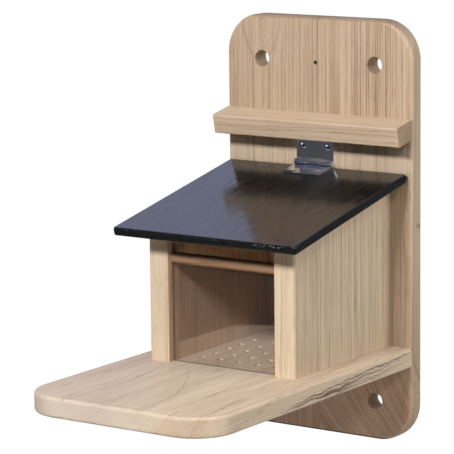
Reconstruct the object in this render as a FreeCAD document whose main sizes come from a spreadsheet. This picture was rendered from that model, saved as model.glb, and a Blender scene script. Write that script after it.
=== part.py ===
import FreeCAD, Part
import os
import Sketcher
from FreeCAD import Vector, Rotation, Placement

# Hinged-lid feeding station that hangs on a wall or a tree.
# The origin is the middle of the four fixing holes, on the back face of the backboard.
# +X runs to the right as seen from the front, +Z runs up, and the front looks along -Y.

doc = FreeCAD.newDocument("FeedingStation")
sheet = doc.addObject("Spreadsheet::Sheet", "Dims")


class Rows:
    """Next free row of the dimension sheet."""
    used = 0


def dim(alias, value, note):
    """Write one driving dimension, in millimetres or degrees, with its alias and a note."""
    Rows.used += 1
    sheet.set("A" + str(Rows.used), note)
    sheet.set("B" + str(Rows.used), str(value))
    sheet.setAlias("B" + str(Rows.used), alias)


# Backboard
dim("board_width", 200, "backboard width")
dim("board_top", 196.5, "top of the backboard above the origin")
dim("board_foot", 191.5, "foot of the backboard below the origin")
dim("board_thick", 18, "backboard thickness")
dim("board_corner", 36, "radius of the backboard corners, seen from the front")
dim("board_ease", 3.5, "rounding of the long edges")
dim("wall_hole_rad", 7.75, "fixing hole radius")
dim("wall_hole_x", 61, "fixing holes, left and right of the origin")
dim("wall_hole_z", 155.5, "fixing holes, above and below the origin")
dim("nail_hole_rad", 1.75, "radius of the hanging-nail hole")
dim("nail_hole_x", 2.4, "nail hole, left of the glue line")
dim("nail_hole_z", 154.5, "nail hole height")
# Ledge over the hinge
dim("slope", 11.6, "slope of the lid and of the ledge, degrees")
dim("ledge_width", 200, "ledge length across the board")
dim("ledge_top", 108.5, "top of the ledge where it meets the board")
dim("ledge_reach", 27, "ledge depth along its slope")
dim("ledge_thick", 18, "ledge thickness")
dim("ledge_ease", 1.5, "rounding of the ledge's front edges")
# Platform
dim("floor_width", 200, "platform width")
dim("floor_reach", 323, "platform depth in front of the board")
dim("floor_top", -101.5, "top of the platform")
dim("floor_thick", 18, "platform thickness")
dim("floor_corner", 38, "radius of the platform's front corners, from above")
dim("floor_ease", 3, "rounding of the platform's edges")
dim("drain_rad", 3, "drain hole radius")
dim("drain_x", -43, "first column of drain holes")
dim("drain_y", -144.8, "front row of drain holes")
dim("drain_pitch_x", 20, "drain hole pitch across")
dim("drain_pitch_y", 20.9, "drain hole pitch front to back")
# Food box
dim("box_inner", 56.5, "inner faces of the cheeks, each side of the middle")
dim("cheek_thick", 21, "cheek thickness")
dim("box_depth", 160, "cheek depth in front of the board")
dim("cheek_ease_out", 3, "rounding of the outer front edge")
dim("cheek_ease_in", 1, "rounding of the inner front edge")
dim("groove_depth", 6, "depth of the window groove")
dim("groove_front", 152.5, "front wall of the groove, from the board")
dim("groove_wide", 3.2, "width of the groove")
dim("pane_thick", 3, "acrylic thickness")
dim("pane_slack", 0.4, "pane edge to groove bottom")
dim("pane_height", 87.5, "pane height above the platform")
dim("dowel_rad", 5, "crossbar radius")
dim("dowel_y", 151, "crossbar axis, from the board")
dim("dowel_z", -7.5, "crossbar height")
dim("dowel_let_in", 8, "crossbar let into each cheek")
# Lid
dim("lid_width", 193, "lid width")
dim("lid_length", 190, "lid length down its slope")
dim("lid_thick", 8, "lid thickness")
dim("lid_back", 0.6, "back edge of the lid, behind the pin")
dim("lid_corner", 3, "radius of the lid corners, from above")
dim("lid_ease", 2, "rounding of the lid's edges")
# Hinge
dim("pin_off", 3.3, "pin axis to the board and to the lid's top")
dim("pin_z", 62.6, "pin height")
dim("pin_rad", 1.25, "pin radius")
dim("pin_slack", 0.05, "running clearance round the pin")
dim("pin_proud", 0.6, "pin ends past the knuckles")
dim("knuckle_rad", 3, "knuckle radius")
dim("hinge_x", -2.5, "middle of the hinge")
dim("hinge_wide", 40, "hinge leaf width")
dim("knuckle_mid", 16.6, "length of the lid leaf's knuckle")
dim("knuckle_gap", 0.2, "gap between knuckles")
dim("leaf_thick", 1.2, "leaf thickness")
dim("leaf_reach", 24, "leaf length from the pin axis")
dim("leaf_relief", 3.7, "cut-back of a leaf beside the other leaf's knuckle")
dim("leaf_screw", 14.5, "hinge screws, from the pin axis")
dim("leaf_spread", 13.5, "hinge screws, each side of the hinge middle")
# Screws
dim("head_rim", 0.3, "straight rim of a countersunk head")
dim("point_rad", 0.4, "blunt point radius")
dim("wood_head", 4, "wood screw head radius")
dim("wood_shank", 2, "wood screw shank radius")
dim("wood_point", 5, "wood screw point length")
dim("wood_slot", 0.9, "width of a wood screw's cross recess")
dim("wood_slot_deep", 1.6, "depth of a wood screw's cross recess")
dim("rear_long", 40, "rear screw length")
dim("base_long", 50, "base screw length")
dim("ledge_head", 3.5, "ledge screw head radius")
dim("ledge_shank", 1.75, "ledge screw shank radius")
dim("ledge_long", 35, "ledge screw length")
dim("hinge_head", 2.6, "hinge screw head radius")
dim("hinge_shank", 1.5, "hinge screw shank radius")
dim("hinge_long", 8, "hinge screw length")
dim("hinge_point", 2, "hinge screw point length")
dim("hinge_slot", 0.7, "width of a hinge screw's cross recess")
dim("hinge_slot_deep", 0.9, "depth of a hinge screw's cross recess")
dim("cheek_screw_x", 67, "screws into the cheeks, from the middle")
dim("cheek_screw_low", -66.5, "lower rear screw into a cheek")
dim("cheek_screw_high", 13.5, "upper rear screw into a cheek")
dim("floor_screw_z", -110.5, "rear screws into the platform")
dim("floor_screw_in", 28, "inner rear screws into the platform, from the middle")
dim("floor_screw_out", 84, "outer rear screws into the platform, from the middle")
dim("base_screw_rear", 62, "rear base screw, from the board")
dim("base_screw_front", 128, "front base screw, from the board")
dim("ledge_screw_x", 60, "ledge screws, from the middle")
dim("ledge_screw_z", 98.5, "ledge screw height")
doc.recompute()

TINY = 1e-4


def val(text):
    """The number an expression of the sheet stands for."""
    found = sheet.evalExpression(text)
    return float(getattr(found, "Value", found))


def bind(thing, **sizes):
    """Bind properties to expressions; a double underscore stands for a dot."""
    for name, text in sizes.items():
        thing.setExpression(name.replace("__", "."), text)


def place(thing, x, y, z, axis=None, angle=None):
    """Give an object its place by expressions, turned about one axis."""
    turn = Rotation(axis, val(angle)) if axis else Rotation()
    thing.Placement = Placement(Vector(val(x), val(y), val(z)), turn)
    bind(thing, Placement__Base__x=x, Placement__Base__y=y, Placement__Base__z=z)
    if axis:
        bind(thing, Placement__Rotation__Angle=angle)


def new_body(name):
    return doc.addObject("PartDesign::Body", name)


def origin_item(body, role):
    for item in body.Origin.OriginFeatures:
        if item.Role == role:
            return item


def new_sketch(body, name, plane, lift):
    """Empty sketch on one of the body's own origin planes, lifted along its normal."""
    sk = body.newObject("Sketcher::SketchObject", name)
    sk.AttachmentSupport = (origin_item(body, plane), [""])
    sk.MapMode = "FlatFace"
    if lift != "0":
        sk.AttachmentOffset = Placement(Vector(0, 0, val(lift)), Rotation())
        sk.setExpression("AttachmentOffset.Base.z", lift)
    return sk


def pin_point(sk, geo, end, x, y):
    """Fix one sketch point by expressions; a zero puts it on the sketch's axis."""
    for kind, axis_id, text in (("DistanceX", -2, x), ("DistanceY", -1, y)):
        if text == "0":
            sk.addConstraint(Sketcher.Constraint("PointOnObject", geo, end, axis_id))
        else:
            at = sk.addConstraint(Sketcher.Constraint(kind, -1, 1, geo, end, val(text)))
            sk.setExpression("Constraints[%d]" % at, text)


def polygon(body, name, plane, corners, lift="0"):
    """Closed outline through corners given as pairs of expressions."""
    sk = new_sketch(body, name, plane, lift)
    spots = [Vector(val(x), val(y), 0) for x, y in corners]
    count = len(spots)
    for i in range(count):
        sk.addGeometry(Part.LineSegment(spots[i], spots[(i + 1) % count]), False)
    for i in range(count):
        sk.addConstraint(Sketcher.Constraint("Coincident", i, 2, (i + 1) % count, 1))
    for i, (x, y) in enumerate(corners):
        pin_point(sk, i, 1, x, y)
    return sk


def rounds(body, name, plane, circles, lift="0"):
    """Circles given as centre x, centre y and radius expressions."""
    sk = new_sketch(body, name, plane, lift)
    for i, (x, y, r) in enumerate(circles):
        sk.addGeometry(Part.Circle(Vector(val(x), val(y), 0), Vector(0, 0, 1), val(r)), False)
        pin_point(sk, i, 3, x, y)
        at = sk.addConstraint(Sketcher.Constraint("Radius", i, val(r)))
        sk.setExpression("Constraints[%d]" % at, r)
    return sk


def pad(body, name, sketch, length):
    made = body.newObject("PartDesign::Pad", name)
    made.Profile = sketch
    made.Length = val(length)
    made.setExpression("Length", length)
    doc.recompute()
    return made


def pocket(body, name, sketch, length):
    """Cut along the sketch's normal; it has to take material away."""
    before = body.Shape.Volume
    made = body.newObject("PartDesign::Pocket", name)
    made.Profile = sketch
    made.Length = val(length)
    made.Reversed = True
    made.setExpression("Length", length)
    doc.recompute()
    if body.Shape.Volume > before - TINY:
        raise RuntimeError(name + " cuts nothing")
    return made


def ease(body, name, feature, wanted, radius):
    """Round every edge of the feature that the test picks."""
    picked = ["Edge%d" % (i + 1) for i, e in enumerate(feature.Shape.Edges) if wanted(e)]
    if not picked:
        raise RuntimeError(name + " finds no edge")
    made = body.newObject("PartDesign::Fillet", name)
    made.Base = (feature, picked)
    made.Radius = val(radius)
    made.setExpression("Radius", radius)
    doc.recompute()
    return made


def spans(edge):
    box = edge.BoundBox
    return (box.XMin, box.XMax), (box.YMin, box.YMax), (box.ZMin, box.ZMax)


def lies_at(edge, axis, where):
    """True when the whole edge lies at one value of X, Y or Z (0, 1 or 2)."""
    low, high = spans(edge)[axis]
    return abs(low - where) < TINY and abs(high - where) < TINY


def runs_along(edge, axis):
    """True for an edge that is straight along X, Y or Z."""
    sizes = [high - low for low, high in spans(edge)]
    return all(size < TINY for i, size in enumerate(sizes) if i != axis)


def group(name, members):
    made = doc.addObject("Part::Compound", name)
    made.Links = members
    return made


def cut(name, base, tool):
    made = doc.addObject("Part::Cut", name)
    made.Base = base
    made.Tool = tool
    return made


def rod(name, radius, length, x, y, z):
    """Cylinder that runs along +X from the given point."""
    made = doc.addObject("Part::Cylinder", name)
    bind(made, Radius=radius, Height=length)
    place(made, x, y, z, Vector(0, 1, 0), "90")
    return made


def block(name, length, width, height, x, y, z):
    made = doc.addObject("Part::Box", name)
    bind(made, Length=length, Width=width, Height=height)
    place(made, x, y, z)
    return made


# Screws. Each kind is turned about +Z with its head at the origin and its point up the
# axis. The plain form is the bore it fills, and the screw is that form with a cross recess.

def screw_kind(name, head, shank, long, point, slot, slot_deep):
    tall = "%s - %s" % (head, shank)
    outline = [("0", "0"), (head, "0"), (head, "Dims.head_rim"),
               (shank, "Dims.head_rim + " + tall),
               (shank, "%s - %s" % (long, point)), ("Dims.point_rad", long), ("0", long)]
    forms = []
    for kind in ("_form", "_screw"):
        body = new_body(name + kind)
        side = polygon(body, name + kind + "_side", "XZ_Plane", outline)
        turned = body.newObject("PartDesign::Revolution", name + kind + "_turned")
        turned.Profile = side
        turned.ReferenceAxis = (side, ["V_Axis"])
        turned.Angle = 360
        doc.recompute()
        forms.append(body)
    arm = "0.75 * " + head
    half = "0.5 * " + slot
    minus = "-%s" % half
    plus = [(minus, "-" + arm), (half, "-" + arm), (half, minus), (arm, minus),
            (arm, half), (half, half), (half, arm), (minus, arm),
            (minus, half), ("-" + arm, half), ("-" + arm, minus), (minus, minus)]
    cross = polygon(forms[1], name + "_cross", "XY_Plane", plus)
    pocket(forms[1], name + "_recess", cross, slot_deep)
    return forms


rear_kind = screw_kind("rear", "Dims.wood_head", "Dims.wood_shank", "Dims.rear_long",
                       "Dims.wood_point", "Dims.wood_slot", "Dims.wood_slot_deep")
base_kind = screw_kind("base", "Dims.wood_head", "Dims.wood_shank", "Dims.base_long",
                       "Dims.wood_point", "Dims.wood_slot", "Dims.wood_slot_deep")
ledge_kind = screw_kind("strip", "Dims.ledge_head", "Dims.ledge_shank", "Dims.ledge_long",
                        "Dims.wood_point", "Dims.wood_slot", "Dims.wood_slot_deep")
hinge_kind = screw_kind("leaf", "Dims.hinge_head", "Dims.hinge_shank", "Dims.hinge_long",
                        "Dims.hinge_point", "Dims.hinge_slot", "Dims.hinge_slot_deep")

TO_FRONT = "90"      # about X: the screw's point looks along -Y
TO_BACK = "-90"      # about X: the point looks along +Y
UPWARD = "0"
DOWNWARD = "180"


def drive(name, kind, spots, turn):
    """Screws of one kind at several points: a group of bores and a group of screws."""
    bores, screws = [], []
    for i, (x, y, z) in enumerate(spots):
        for form, tail, bag in ((kind[0], "_bore_", bores), (kind[1], "_", screws)):
            one = group(name + tail + str(i + 1), [form])
            place(one, x, y, z, Vector(1, 0, 0), turn)
            bag.append(one)
    return group(name + "_bores", bores), group(name, screws)


cheek_x = "Dims.cheek_screw_x"
rear_spots = [(side + cheek_x, "0", "Dims.cheek_screw_" + level)
              for side in ("-", "") for level in ("low", "high")]
rear_spots += [(side + "Dims.floor_screw_" + where, "0", "Dims.floor_screw_z")
               for side, where in (("-", "out"), ("-", "in"), ("", "in"), ("", "out"))]
rear_bores, rear_screws = drive("rear_screws", rear_kind, rear_spots, TO_FRONT)

base_spots = [(side + cheek_x, "-Dims.board_thick - Dims.base_screw_" + where,
               "Dims.floor_top - Dims.floor_thick")
              for side in ("-", "") for where in ("rear", "front")]
base_bores, base_screws = drive("base_screws", base_kind, base_spots, UPWARD)

ledge_spots = [(side + "Dims.ledge_screw_x", "0", "Dims.ledge_screw_z") for side in ("-", "")]
ledge_bores, ledge_screws = drive("ledge_screws", ledge_kind, ledge_spots, TO_FRONT)

leaf_xs = ["Dims.hinge_x - Dims.leaf_spread", "Dims.hinge_x + Dims.leaf_spread"]
wall_spots = [(x, "-Dims.board_thick - Dims.leaf_thick", "Dims.pin_z + Dims.leaf_screw")
              for x in leaf_xs]
wall_bores, hinge_screws_wall = drive("hinge_screws_wall", hinge_kind, wall_spots, TO_BACK)

# The lid, its leaf and its screws are built about the pin axis as if the lid lay level,
# and the whole set is then tipped down to the front by the slope.
lid_face = "-Dims.pin_off"
lid_spots = [(x, "-Dims.leaf_screw", "Dims.leaf_thick - Dims.pin_off") for x in leaf_xs]
lid_bores, hinge_screws_lid = drive("hinge_screws_lid", hinge_kind, lid_spots, DOWNWARD)


def tip(thing):
    place(thing, "0", "-Dims.board_thick - Dims.pin_off", "Dims.pin_z",
          Vector(1, 0, 0), "Dims.slope")


tip(lid_bores)
tip(hinge_screws_lid)

# Backboard: two staves glued edge to edge on the middle line. Each is a pad of its half of
# the outline, with the large corners rounded first and then both long faces eased.

def stave(side, name):
    body = new_body(name + "_blank")
    left, right = ("-0.5 * Dims.board_width", "0") if side < 0 else ("0", "0.5 * Dims.board_width")
    outline = [(left, "-Dims.board_foot"), (right, "-Dims.board_foot"),
               (right, "Dims.board_top"), (left, "Dims.board_top")]
    face = polygon(body, name + "_outline", "XZ_Plane", outline)
    slab = pad(body, name + "_slab", face, "Dims.board_thick")
    edge_x = side * val("0.5 * Dims.board_width")
    corners = ease(body, name + "_corners", slab,
                   lambda e: runs_along(e, 1) and lies_at(e, 0, edge_x), "Dims.board_corner")
    back, front = 0, -val("Dims.board_thick")
    ease(body, name + "_eased", corners,
         lambda e: (lies_at(e, 1, back) or lies_at(e, 1, front)) and not lies_at(e, 0, 0),
         "Dims.board_ease")
    x = "-Dims.wall_hole_x" if side < 0 else "Dims.wall_hole_x"
    holes = [(x, "Dims.wall_hole_z", "Dims.wall_hole_rad"),
             (x, "-Dims.wall_hole_z", "Dims.wall_hole_rad")]
    if side < 0:
        holes.append(("-Dims.nail_hole_x", "Dims.nail_hole_z", "Dims.nail_hole_rad"))
    drilled = rounds(body, name + "_holes", "XZ_Plane", holes)
    pocket(body, name + "_drilled", drilled, "Dims.board_thick")
    return body


board_bores = group("board_bores", [rear_bores, ledge_bores, wall_bores])
backboard_left = cut("backboard_left", stave(-1, "left_stave"), board_bores)
backboard_right = cut("backboard_right", stave(1, "right_stave"), board_bores)

# Ledge: a strip whose top falls to the front at the lid's slope. Its back is cut plumb to
# the board, so its front leans back by the same slope.
ledge_body = new_body("ledge_blank")
wall_y = "-Dims.board_thick"
ledge_front = "-Dims.board_thick - Dims.ledge_reach * cos(Dims.slope * 1 deg)"
ledge_profile = [
    (wall_y, "Dims.ledge_top"),
    (ledge_front, "Dims.ledge_top - Dims.ledge_reach * sin(Dims.slope * 1 deg)"),
    (ledge_front + " + Dims.ledge_thick * sin(Dims.slope * 1 deg)",
     "Dims.ledge_top - Dims.ledge_reach * sin(Dims.slope * 1 deg)"
     " - Dims.ledge_thick * cos(Dims.slope * 1 deg)"),
    (wall_y, "Dims.ledge_top - Dims.ledge_thick / cos(Dims.slope * 1 deg)"),
]
ledge_side = polygon(ledge_body, "ledge_profile", "YZ_Plane", ledge_profile,
                     "-0.5 * Dims.ledge_width")
ledge_bar = pad(ledge_body, "ledge_bar", ledge_side, "Dims.ledge_width")
ease(ledge_body, "ledge_eased", ledge_bar,
     lambda e: not lies_at(e, 1, -val("Dims.board_thick"))
     and spans(e)[1][1] < -val("Dims.board_thick") - TINY, "Dims.ledge_ease")
ledge = cut("ledge", ledge_body, ledge_bores)

# Platform: one board with two round front corners, butted to the backboard.
floor_body = new_body("platform_blank")
floor_front = "-Dims.board_thick - Dims.floor_reach"
floor_outline = [("-0.5 * Dims.floor_width", floor_front), ("0.5 * Dims.floor_width", floor_front),
                 ("0.5 * Dims.floor_width", wall_y), ("-0.5 * Dims.floor_width", wall_y)]
floor_face = polygon(floor_body, "platform_outline", "XY_Plane", floor_outline,
                     "Dims.floor_top - Dims.floor_thick")
floor_slab = pad(floor_body, "platform_slab", floor_face, "Dims.floor_thick")
floor_corners = ease(floor_body, "platform_corners", floor_slab,
                     lambda e: runs_along(e, 2) and lies_at(e, 1, val(floor_front)),
                     "Dims.floor_corner")
floor_levels = (val("Dims.floor_top"), val("Dims.floor_top - Dims.floor_thick"))
ease(floor_body, "platform_eased", floor_corners,
     lambda e: any(lies_at(e, 2, z) for z in floor_levels)
     and not lies_at(e, 1, -val("Dims.board_thick")), "Dims.floor_ease")
COLUMNS = 5
ROWS = 5
drain_row = rounds(floor_body, "drain_row", "XY_Plane",
                   [("Dims.drain_x + %d * Dims.drain_pitch_x" % i, "Dims.drain_y",
                     "Dims.drain_rad") for i in range(COLUMNS)],
                   "Dims.floor_top - Dims.floor_thick")
drained = pocket(floor_body, "platform_drained", drain_row, "Dims.floor_thick")
drain_field = floor_body.newObject("PartDesign::LinearPattern", "drain_field")
drain_field.Originals = [drained]
drain_field.Direction = (origin_item(floor_body, "Y_Axis"), [""])
drain_field.Occurrences = ROWS
drain_field.Length = val("Dims.drain_pitch_y") * (ROWS - 1)
drain_field.setExpression("Length", "Dims.drain_pitch_y * %d" % (ROWS - 1))
floor_body.Tip = drain_field
doc.recompute()
floor_bores = group("platform_bores", [rear_bores, base_bores])
platform = cut("platform", floor_body, floor_bores)

# Cheeks: the two sides of the food box. Their tops follow the underside of the closed lid.
dowel_length = "2 * Dims.box_inner + 2 * Dims.dowel_let_in"
dowel = rod("dowel", "Dims.dowel_rad", dowel_length,
            "-Dims.box_inner - Dims.dowel_let_in", "-Dims.board_thick - Dims.dowel_y",
            "Dims.dowel_z")
under_pin = "Dims.pin_z - (Dims.pin_off + Dims.lid_thick) / cos(Dims.slope * 1 deg)"
cheek_back_z = under_pin + " + Dims.pin_off * tan(Dims.slope * 1 deg)"
cheek_front_z = under_pin + " + (Dims.pin_off - Dims.box_depth) * tan(Dims.slope * 1 deg)"
cheek_front_y = "-Dims.board_thick - Dims.box_depth"
cheek_profile = [(wall_y, "Dims.floor_top"), (cheek_front_y, "Dims.floor_top"),
                 (cheek_front_y, cheek_front_z), (wall_y, cheek_back_z)]
cheek_bores = group("cheek_bores", [rear_bores, base_bores, dowel])


def cheek(side, name):
    body = new_body(name + "_blank")
    inner = val("Dims.box_inner") * side
    outer = val("Dims.box_inner + Dims.cheek_thick") * side
    start = "-Dims.box_inner - Dims.cheek_thick" if side < 0 else "Dims.box_inner"
    face = polygon(body, name + "_profile", "YZ_Plane", cheek_profile, start)
    slab = pad(body, name + "_slab", face, "Dims.cheek_thick")
    front_y = val(cheek_front_y)
    soft = ease(body, name + "_eased_out", slab,
                lambda e: runs_along(e, 2) and lies_at(e, 1, front_y) and lies_at(e, 0, outer),
                "Dims.cheek_ease_out")
    ease(body, name + "_eased_in", soft,
         lambda e: runs_along(e, 2) and lies_at(e, 1, front_y) and lies_at(e, 0, inner),
         "Dims.cheek_ease_in")
    a, b = "Dims.box_inner", "Dims.box_inner + Dims.groove_depth"
    if side < 0:
        a, b = "-Dims.box_inner - Dims.groove_depth", "-Dims.box_inner"
    near = "-Dims.board_thick - Dims.groove_front"
    far = near + " + Dims.groove_wide"
    slot = polygon(body, name + "_groove_outline", "XY_Plane",
                   [(a, near), (b, near), (b, far), (a, far)], "Dims.floor_top")
    pocket(body, name + "_groove", slot, "Dims.pin_z - Dims.floor_top")
    return cut(name, body, cheek_bores)


side_left = cheek(-1, "side_left")
side_right = cheek(1, "side_right")

# Window: a clear pane that stands on the platform in the two grooves, under the crossbar.
pane_wide = "2 * (Dims.box_inner + Dims.groove_depth - Dims.pane_slack)"
window = block("window", pane_wide, "Dims.pane_thick", "Dims.pane_height",
               "-Dims.box_inner - Dims.groove_depth + Dims.pane_slack",
               "-Dims.board_thick - Dims.groove_front", "Dims.floor_top")

# Lid: a flat board with eased edges, level here and tipped with its leaf below.
lid_body = new_body("lid_blank")
lid_front = "Dims.lid_back - Dims.lid_length"
lid_outline = [("-0.5 * Dims.lid_width", lid_front), ("0.5 * Dims.lid_width", lid_front),
               ("0.5 * Dims.lid_width", "Dims.lid_back"), ("-0.5 * Dims.lid_width", "Dims.lid_back")]
lid_plan = polygon(lid_body, "lid_outline", "XY_Plane", lid_outline,
                   "-Dims.pin_off - Dims.lid_thick")
lid_slab = pad(lid_body, "lid_slab", lid_plan, "Dims.lid_thick")
lid_corners = ease(lid_body, "lid_corners", lid_slab, lambda e: runs_along(e, 2),
                   "Dims.lid_corner")
lid_levels = (val(lid_face), val(lid_face + " - Dims.lid_thick"))
ease(lid_body, "lid_eased", lid_corners,
     lambda e: any(lies_at(e, 2, z) for z in lid_levels), "Dims.lid_ease")
tip(lid_body)
lid = cut("lid", lid_body, lid_bores)

# Butt hinge. The wall leaf has the two outer knuckles and holds the pin; the lid leaf has
# the middle knuckle, which turns on the pin.
leaf_left = "Dims.hinge_x - 0.5 * Dims.hinge_wide"
mid_left = "Dims.hinge_x - 0.5 * Dims.knuckle_mid"
mid_right = "Dims.hinge_x + 0.5 * Dims.knuckle_mid"
outer_long = "0.5 * (Dims.hinge_wide - Dims.knuckle_mid) - Dims.knuckle_gap"
pin_y = "-Dims.board_thick - Dims.pin_off"

hinge_pin = rod("hinge_pin", "Dims.pin_rad", "Dims.hinge_wide + 2 * Dims.pin_proud",
                leaf_left + " - Dims.pin_proud", pin_y, "Dims.pin_z")

wall_sheet = block("wall_sheet", "Dims.hinge_wide", "Dims.leaf_thick", "Dims.leaf_reach",
                   leaf_left, "-Dims.board_thick - Dims.leaf_thick", "Dims.pin_z")
knuckle_a = rod("knuckle_left", "Dims.knuckle_rad", outer_long, leaf_left, pin_y, "Dims.pin_z")
knuckle_b = rod("knuckle_right", "Dims.knuckle_rad", outer_long,
                mid_right + " + Dims.knuckle_gap", pin_y, "Dims.pin_z")
wall_notch = block("wall_notch", "Dims.knuckle_mid + 2 * Dims.knuckle_gap",
                   "2 * Dims.leaf_thick", "2 * Dims.leaf_relief",
                   mid_left + " - Dims.knuckle_gap",
                   "-Dims.board_thick - 1.5 * Dims.leaf_thick", "Dims.pin_z - Dims.leaf_relief")
wall_joined = doc.addObject("Part::MultiFuse", "wall_joined")
wall_joined.Shapes = [wall_sheet, knuckle_a, knuckle_b]
wall_tools = group("wall_tools", [wall_notch, hinge_pin, wall_bores])
hinge_leaf_wall = cut("hinge_leaf_wall", wall_joined, wall_tools)

lid_sheet = block("lid_sheet", "Dims.hinge_wide", "Dims.leaf_reach", "Dims.leaf_thick",
                  leaf_left, "-Dims.leaf_reach", lid_face)
knuckle_c = rod("knuckle_middle", "Dims.knuckle_rad", "Dims.knuckle_mid", mid_left, "0", "0")
turning_bore = rod("turning_bore", "Dims.pin_rad + Dims.pin_slack", "Dims.hinge_wide",
                   leaf_left, "0", "0")
notch_long = outer_long + " + Dims.knuckle_gap"
lid_notch_a = block("lid_notch_left", notch_long, "2 * Dims.leaf_relief",
                    "2 * Dims.leaf_thick", leaf_left, "-Dims.leaf_relief",
                    "-Dims.pin_off - 0.5 * Dims.leaf_thick")
lid_notch_b = block("lid_notch_right", notch_long, "2 * Dims.leaf_relief",
                    "2 * Dims.leaf_thick", mid_right, "-Dims.leaf_relief",
                    "-Dims.pin_off - 0.5 * Dims.leaf_thick")
lid_joined = doc.addObject("Part::MultiFuse", "lid_joined")
lid_joined.Shapes = [lid_sheet, knuckle_c]
# The leaf is cut while level, with level bores of its own, and then tipped.
level_bores = group("level_bores", [group("level_bore_%d" % (i + 1), [hinge_kind[0]])
                                    for i in range(len(lid_spots))])
for bore, (x, y, z) in zip(level_bores.Links, lid_spots):
    place(bore, x, y, z, Vector(1, 0, 0), DOWNWARD)
lid_tools = group("lid_tools", [turning_bore, lid_notch_a, lid_notch_b, level_bores])
hinge_leaf_lid = cut("hinge_leaf_lid", lid_joined, lid_tools)
tip(hinge_leaf_lid)

doc.recompute()

nodes = [backboard_left, backboard_right, ledge, platform, side_left, side_right, window,
         dowel, lid, hinge_leaf_wall, hinge_leaf_lid, hinge_pin, hinge_screws_wall,
         hinge_screws_lid, ledge_screws, rear_screws, base_screws]
for node in nodes:
    node.Label = node.Name

for thing in doc.Objects:
    if "Invalid" in thing.State or "Error" in thing.State:
        raise RuntimeError("%s failed: %s" % (thing.Name, thing.State))
for node in nodes:
    if node.Shape.isNull() or not node.Shape.isValid():
        raise RuntimeError(node.Label + " has no valid shape")

os.makedirs("parts", exist_ok=True)
for node in nodes:
    solids = node.Shape.Solids
    shape = solids[0] if len(solids) == 1 else Part.makeCompound(solids)
    shape.exportStep(os.path.join("parts", node.Label + ".step"))
    print("%-20s %2d solid(s) %10.1f mm3" % (node.Label, len(solids), shape.Volume))
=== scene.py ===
# %% [markdown]
# # A wall-hung feeding station, dressed around its CAD model
# The station is a small piece of joinery: oak boards, a black painted lid on a zinc
# hinge, and a clear pane that keeps the food in. The CAD model already has every
# board, hole and screw at its real size, so this notebook loads it as a fixed frame
# and gives each part its finish. Only the hinge and its screws are made again, because
# rolled sheet and a screw's recess show in how they catch the light. All lengths are
# in metres.

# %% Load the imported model
import bmesh
import bpy
import math
from mathutils import Matrix, Vector


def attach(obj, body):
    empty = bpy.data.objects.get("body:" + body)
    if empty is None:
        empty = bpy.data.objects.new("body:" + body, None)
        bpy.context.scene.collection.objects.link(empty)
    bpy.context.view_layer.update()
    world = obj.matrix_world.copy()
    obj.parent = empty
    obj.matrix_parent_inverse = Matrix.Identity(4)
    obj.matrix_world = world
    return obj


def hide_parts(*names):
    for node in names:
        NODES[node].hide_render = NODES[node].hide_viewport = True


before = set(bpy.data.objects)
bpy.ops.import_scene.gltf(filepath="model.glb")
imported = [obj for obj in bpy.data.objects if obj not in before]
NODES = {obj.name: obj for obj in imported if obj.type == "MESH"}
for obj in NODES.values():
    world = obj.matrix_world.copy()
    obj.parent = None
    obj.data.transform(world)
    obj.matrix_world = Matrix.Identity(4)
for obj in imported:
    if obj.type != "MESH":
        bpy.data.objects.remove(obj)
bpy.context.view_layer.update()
MM = 0.001
print("nodes:", sorted(NODES))

# %% [markdown]
# ## Small helpers for shader nodes
# A procedural material is a graph of nodes. Writing one by hand repeats the same three
# steps: add a node, set its values, link its inputs. One short helper does all three,
# and a few more do sums and blends, so the recipes below read like a list of
# ingredients.

# %% Adding nodes
def put(tree, socket, value):
    """Link a socket, or set a plain value on it."""
    if isinstance(value, bpy.types.NodeSocket):
        tree.links.new(value, socket)
    else:
        socket.default_value = value


def fill(tree, node, **inputs):
    """Link or set a node's inputs by name, or by place as _0, _1 and _2."""
    for name, value in inputs.items():
        key = int(name[1:]) if name[1:].isdigit() else name.replace("_", " ")
        put(tree, node.inputs[key], value)
    return node


def add(tree, kind, settings=(), **inputs):
    """Add a node, with its settings and its inputs."""
    node = tree.nodes.new(kind)
    for name, value in dict(settings).items():
        setattr(node, name, value)
    return fill(tree, node, **inputs)


def where(tree, kind="Object"):
    """The point being shaded, in the part's own frame, or another of its coordinates."""
    return add(tree, "ShaderNodeTexCoord").outputs[kind]


# %% Sums on numbers
def maths(tree, op, a, b=0.0, c=0.0):
    return add(tree, "ShaderNodeMath", {"operation": op}, _0=a, _1=b, _2=c).outputs[0]


def plus(tree, first, *others):
    for other in others:
        first = maths(tree, "ADD", first, other)
    return first


def minus(tree, a, b):
    return maths(tree, "SUBTRACT", a, b)


def times(tree, first, *others):
    for other in others:
        first = maths(tree, "MULTIPLY", first, other)
    return first


def multiple_plus(tree, a, b, c):
    """a times b, plus c, in one node."""
    return maths(tree, "MULTIPLY_ADD", a, b, c)


def unsigned(tree, value):
    """A number without its sign."""
    return maths(tree, "ABSOLUTE", value)


def e_to(tree, value):
    """e to a power: one at nought, and fading to nothing as the value falls below it."""
    return maths(tree, "POWER", math.e, value)


def swing(tree, value, strength):
    """A value centred on one half, turned into a push of that strength either way."""
    return times(tree, minus(tree, value, 0.5), strength)


def dimmed(tree, mask, share):
    """A factor of one, less that share where the mask is full."""
    return multiple_plus(tree, mask, -share, 1.0)


# %% Sums on vectors
def vector_maths(tree, op, a, b=(0.0, 0.0, 0.0)):
    return add(tree, "ShaderNodeVectorMath", {"operation": op}, _0=a, _1=b).outputs[0]


def stretched(tree, vector, factors):
    """A vector with each axis multiplied by its own factor."""
    return vector_maths(tree, "MULTIPLY", vector, factors)


def scaled(tree, vector, factor):
    return add(tree, "ShaderNodeVectorMath", {"operation": "SCALE"}, _0=vector,
               Scale=factor).outputs[0]


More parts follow.
